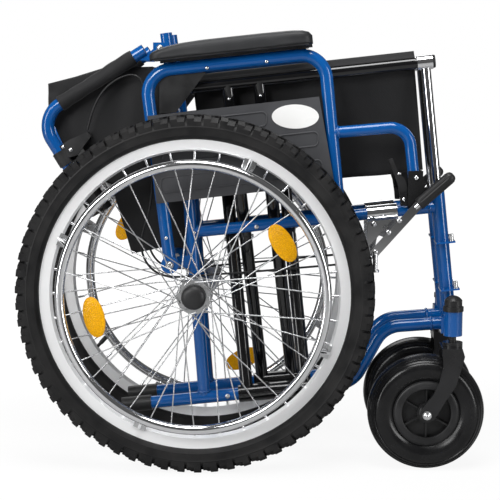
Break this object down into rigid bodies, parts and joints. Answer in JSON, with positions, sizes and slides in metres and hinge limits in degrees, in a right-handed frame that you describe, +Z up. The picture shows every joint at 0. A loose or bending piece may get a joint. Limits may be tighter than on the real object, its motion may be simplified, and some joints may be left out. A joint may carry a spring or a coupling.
{
  "type": "folding wheelchair",
  "caption": "Folding wheelchair with knobbly spoked rear wheels, wide casters, flip-back arms and cross-braced tube frame, shown folded.",
  "frame": {"origin": "middle of the bounding box on the floor, chair folded", "axes": "+X forwards, +Y to the far side (the chair's left as it faces +X), +Z up"},
  "size_m": [0.797, 0.341, 0.7434],
  "materials": {
    "blue_paint": "smooth gloss blue enamel",
    "black_steel": "satin black powder coat",
    "alloy": "bright anodised",
    "steel": "zinc plated",
    "chrome": "bright plated",
    "black_plastic": "fine grained",
    "amber_plastic": "prismatic, translucent",
    "cable_jacket": "smooth",
    "upholstery": "coated woven nylon",
    "tyre_rubber": "dull, dusty between the blocks",
    "grip_rubber": "moulded, ribbed",
    "pad_skin": "self-skinned foam, fine grain",
    "grey_panel": "grained, embossed"
  },
  "bodies": {
    "near_frame": {"near_frame": "blue_paint", "near_frame_caps": "black_plastic", "near_axle_and_pins": "steel", "near_lock_clamp": "chrome", "near_latch_bracket": "black_steel", "near_cable_run": "cable_jacket", "near_back_flap": "upholstery"},
    "near_wheel": {"near_tyre": "tyre_rubber", "near_rim": "alloy", "near_spokes": "steel", "near_hub": "chrome", "near_hub_cap": "black_plastic", "near_push_ring": "chrome", "near_reflectors": "amber_plastic"},
    "near_fork": {"near_caster_fork": "black_steel", "near_caster_axle": "steel"},
    "near_caster": {"near_caster_wheel": "black_plastic", "near_caster_tyre": "tyre_rubber"},
    "near_arm": {"near_arm_frame": "blue_paint", "near_arm_pad": "pad_skin", "near_skirt": "grey_panel"},
    "near_latch_lever_body": {"near_latch_lever": "black_plastic"},
    "near_lock_lever_body": {"near_lock_lever": "chrome", "near_lock_grip": "grip_rubber"},
    "near_cane": {"near_upper_cane": "blue_paint", "near_grip": "grip_rubber", "near_brake_body": "black_plastic", "near_back_panel": "upholstery"},
    "near_brake_lever_body": {"near_brake_lever": "chrome"},
    "near_guide": {"near_seat_guide": "chrome"},
    "far_frame": {"far_frame": "blue_paint", "far_frame_caps": "black_plastic", "far_axle_and_pins": "steel", "far_lock_clamp": "chrome", "far_cable_run": "cable_jacket", "far_back_flap": "upholstery"},
    "far_wheel": {"far_tyre": "tyre_rubber", "far_rim": "alloy", "far_spokes": "steel", "far_hub": "chrome", "far_push_ring": "chrome", "far_reflectors": "amber_plastic"},
    "far_fork": {"far_caster_fork": "black_steel", "far_caster_axle": "steel"},
    "far_caster": {"far_caster_wheel": "black_plastic", "far_caster_tyre": "tyre_rubber"},
    "far_arm": {"far_arm_frame": "blue_paint", "far_arm_pad": "pad_skin", "far_skirt": "grey_panel"},
    "far_latch_lever_body": {"far_latch_lever": "black_plastic"},
    "far_lock_lever_body": {"far_lock_lever": "chrome"},
    "far_cane": {"far_upper_cane": "blue_paint", "far_grip": "grip_rubber", "far_back_panel": "upholstery"},
    "far_brake_lever_body": {"far_brake_lever": "chrome"},
    "far_guide": {"far_seat_guide": "chrome"},
    "outer_brace_body": {"outer_brace": "black_steel", "brace_bolts": "steel", "seat_sling": "upholstery"},
    "inner_brace_body": {"inner_brace": "black_steel"}
  },
  "joints": [
    {"name": "outer_brace_turn", "type": "hinge", "parent": "near_frame", "child": "outer_brace_body", "pos_m": [0.0345, -0.046, 0.12445], "axis": [-0.9938, 0, -0.1115], "range_deg": [0, 42.3]},
    {"name": "inner_brace_turn", "type": "hinge", "parent": "outer_brace_body", "child": "inner_brace_body", "pos_m": [0.00451, 0, 0.39178], "axis": [0.9938, 0, 0.1115], "range_deg": [0, 84.6], "deforming": ["seat_sling"]},
    {"name": "far_frame_turn", "type": "hinge", "parent": "inner_brace_body", "child": "far_frame", "pos_m": [0.0345, 0.046, 0.12445], "axis": [-0.9938, 0, -0.1115], "range_deg": [0, 42.3]},
    {"name": "near_guide_turn", "type": "hinge", "parent": "inner_brace_body", "child": "near_guide", "pos_m": [-0.02547, -0.046, 0.6591], "axis": [-0.9938, 0, -0.1115], "range_deg": [0, 42.3]},
    {"name": "far_guide_turn", "type": "hinge", "parent": "outer_brace_body", "child": "far_guide", "pos_m": [-0.02547, 0.046, 0.6591], "axis": [0.9938, 0, 0.1115], "range_deg": [0, 42.3]},
    {"name": "near_wheel_spin", "type": "hinge", "parent": "near_frame", "child": "near_wheel", "pos_m": [-0.0955, -0.1175, 0.303], "axis": [0, 1, 0], "continuous": true},
    {"name": "near_caster_swivel", "type": "hinge", "parent": "near_frame", "child": "near_fork", "pos_m": [0.3425, -0.08, 0.24], "axis": [0, 0, 1], "range_deg": [-20, 200]},
    {"name": "near_caster_spin", "type": "hinge", "parent": "near_fork", "child": "near_caster", "pos_m": [0.2985, -0.08, 0.1], "axis": [0, 1, 0], "continuous": true},
    {"name": "near_arm_flip", "type": "hinge", "parent": "near_frame", "child": "near_arm", "pos_m": [-0.1415, -0.073, 0.349], "axis": [0, -1, 0], "range_deg": [0, 100]},
    {"name": "near_arm_latch", "type": "hinge", "parent": "near_frame", "child": "near_latch_lever_body", "pos_m": [0.2555, -0.073, 0.464], "axis": [0, -1, 0], "range_deg": [0, 25]},
    {"name": "near_wheel_lock", "type": "hinge", "parent": "near_frame", "child": "near_lock_lever_body", "pos_m": [0.2285, -0.0985, 0.41], "axis": [0, -1, 0], "range_deg": [0, 28]},
    {"name": "near_back_fold", "type": "hinge", "parent": "near_frame", "child": "near_cane", "pos_m": [-0.1598, -0.046, 0.717], "axis": [0, 1, 0], "range_deg": [0, 113.7], "deforming": ["near_cable_run"]},
    {"name": "near_brake_squeeze", "type": "hinge", "parent": "near_cane", "child": "near_brake_lever_body", "pos_m": [-0.3145, -0.046, 0.543], "axis": [0, 1, 0], "range_deg": [0, 7.5], "stiffness_Nm_per_rad": 0.6, "springref_deg": -5.73},
    {"name": "far_wheel_spin", "type": "hinge", "parent": "far_frame", "child": "far_wheel", "pos_m": [-0.0955, 0.1175, 0.303], "axis": [0, 1, 0], "continuous": true},
    {"name": "far_caster_swivel", "type": "hinge", "parent": "far_frame", "child": "far_fork", "pos_m": [0.3425, 0.08, 0.24], "axis": [0, 0, -1], "range_deg": [-20, 200]},
    {"name": "far_caster_spin", "type": "hinge", "parent": "far_fork", "child": "far_caster", "pos_m": [0.2985, 0.08, 0.1], "axis": [0, 1, 0], "continuous": true},
    {"name": "far_arm_flip", "type": "hinge", "parent": "far_frame", "child": "far_arm", "pos_m": [-0.1415, 0.073, 0.349], "axis": [0, -1, 0], "range_deg": [0, 100]},
    {"name": "far_arm_latch", "type": "hinge", "parent": "far_frame", "child": "far_latch_lever_body", "pos_m": [0.2555, 0.073, 0.464], "axis": [0, -1, 0], "range_deg": [0, 25]},
    {"name": "far_wheel_lock", "type": "hinge", "parent": "far_frame", "child": "far_lock_lever_body", "pos_m": [0.2285, 0.0985, 0.41], "axis": [0, -1, 0], "range_deg": [0, 28]},
    {"name": "far_back_fold", "type": "hinge", "parent": "far_frame", "child": "far_cane", "pos_m": [-0.1598, 0.046, 0.717], "axis": [0, 1, 0], "range_deg": [0, 113.7], "deforming": ["far_cable_run"]},
    {"name": "far_brake_squeeze", "type": "hinge", "parent": "far_cane", "child": "far_brake_lever_body", "pos_m": [-0.3145, 0.046, 0.543], "axis": [0, 1, 0], "range_deg": [0, 7.5], "stiffness_Nm_per_rad": 0.6, "springref_deg": -5.73}
  ],
  "couplings": [
    {"joint": "inner_brace_turn", "follows": "outer_brace_turn", "ratio": 2},
    {"joint": "far_frame_turn", "follows": "outer_brace_turn", "ratio": 1},
    {"joint": "near_guide_turn", "follows": "outer_brace_turn", "ratio": 1},
    {"joint": "far_guide_turn", "follows": "outer_brace_turn", "ratio": 1}
  ]
}
